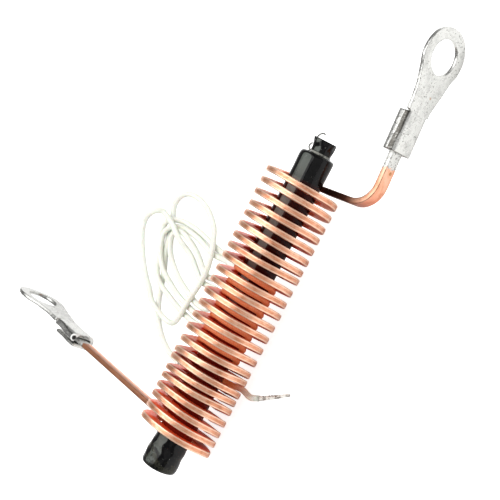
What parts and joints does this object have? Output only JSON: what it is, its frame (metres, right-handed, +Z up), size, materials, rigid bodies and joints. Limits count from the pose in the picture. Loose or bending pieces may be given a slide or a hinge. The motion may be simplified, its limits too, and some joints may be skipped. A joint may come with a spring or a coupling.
{
  "type": "induction coil",
  "caption": "Arc starting coil: a bare copper strip wound on its edge round a sleeved ferrite rod that carries an insulated wire winding, with folded ring lugs on the strip's two leads.",
  "frame": {"origin": "centre of the rigid pieces' box on the floor it lies on, without the free wire", "axes": "+Z up, +Y along the rod toward its necked end, +X toward the side the upper lug lies on"},
  "size_m": [0.1288, 0.1526, 0.0284],
  "materials": {
    "copper": "bare copper, satin",
    "tinned_brass": "tin plate, dull",
    "solder": "soldered, satin",
    "ferrite": "sintered ferrite, matt",
    "black_sleeve": "shrunk film, gloss",
    "white_insulation": "braided or tape wrapped, matt",
    "bare_strands": "tinned copper strands, dull"
  },
  "bodies": {
    "root": {"copper_strip_coil": "copper", "upper_ring_lug": "tinned_brass", "lower_ring_lug": "tinned_brass", "upper_lug_solder": "solder", "lower_lug_solder": "solder", "ferrite_rod": "ferrite", "heat_shrink_sleeve": "black_sleeve", "wire_winding": "white_insulation", "finish_lead": "white_insulation", "start_lead_strands": "bare_strands", "finish_lead_strands": "bare_strands"}
  },
  "joints": []
}
